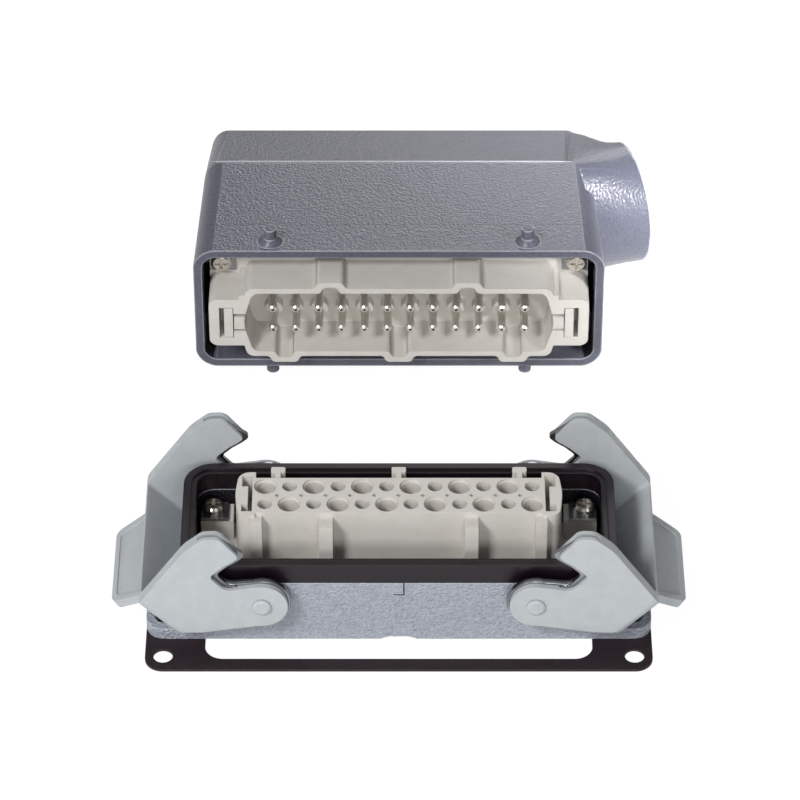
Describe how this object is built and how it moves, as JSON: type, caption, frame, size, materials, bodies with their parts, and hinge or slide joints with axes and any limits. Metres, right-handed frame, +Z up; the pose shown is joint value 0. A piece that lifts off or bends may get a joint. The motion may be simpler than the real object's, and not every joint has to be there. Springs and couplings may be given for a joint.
{
  "type": "heavy duty rectangular connector",
  "caption": "Unmated rectangular power connector: angled-entry hood with pin insert, bulkhead housing with socket insert, rim seal, loose flange gasket and hinged locking levers.",
  "frame": {"origin": "centre of the housing's bottom face, in the panel plane, in the middle of its four flange holes", "axes": "+X along the housing towards the hood's cable entry side, +Y from the housing towards the hood that lies behind it, +Z up out of the panel"},
  "size_m": [0.1592, 0.2007, 0.0528],
  "materials": {
    "hood_cast": "powder-coated die-cast aluminium, fine texture",
    "housing_cast": "powder-coated die-cast aluminium, orange peel",
    "lever_moulding": "smooth moulded polyamide",
    "insert_moulding": "moulded glass-filled polycarbonate",
    "seal_rubber": "smooth moulded nitrile rubber",
    "gasket_rubber": "sheet rubber, die cut",
    "plated_steel": "zinc-plated steel",
    "spring_steel": "stamped stainless spring steel",
    "silvered_brass": "silver-plated brass, turned"
  },
  "bodies": {
    "root": {"flange_gasket": "gasket_rubber", "housing_body": "housing_cast", "housing_seal": "seal_rubber", "lever_pivot_pins": "lever_moulding", "socket_insert_body": "insert_moulding", "socket_contacts": "silvered_brass", "socket_terminal_screws": "plated_steel", "socket_fixing_screws": "plated_steel", "socket_ground_plate_left": "spring_steel", "socket_ground_plate_right": "spring_steel", "hood_shell": "hood_cast", "pin_insert_body": "insert_moulding", "contact_pins": "silvered_brass", "pin_terminal_screws": "plated_steel", "pin_fixing_screws": "plated_steel", "pin_ground_plate_left": "spring_steel", "pin_ground_plate_right": "spring_steel"},
    "left_lever": {"left_lever_body": "lever_moulding", "left_hook_front": "spring_steel", "left_hook_rear": "spring_steel"},
    "right_lever": {"right_lever_body": "lever_moulding", "right_hook_front": "spring_steel", "right_hook_rear": "spring_steel"}
  },
  "joints": [
    {"name": "left_lever_hinge", "type": "hinge", "parent": "root", "child": "left_lever", "pos_m": [-0.0375, 0, 0.0168], "axis": [0, 1, 0], "range_deg": [0, 43]},
    {"name": "right_lever_hinge", "type": "hinge", "parent": "root", "child": "right_lever", "pos_m": [0.0375, 0, 0.0168], "axis": [0, -1, 0], "range_deg": [0, 43]}
  ]
}
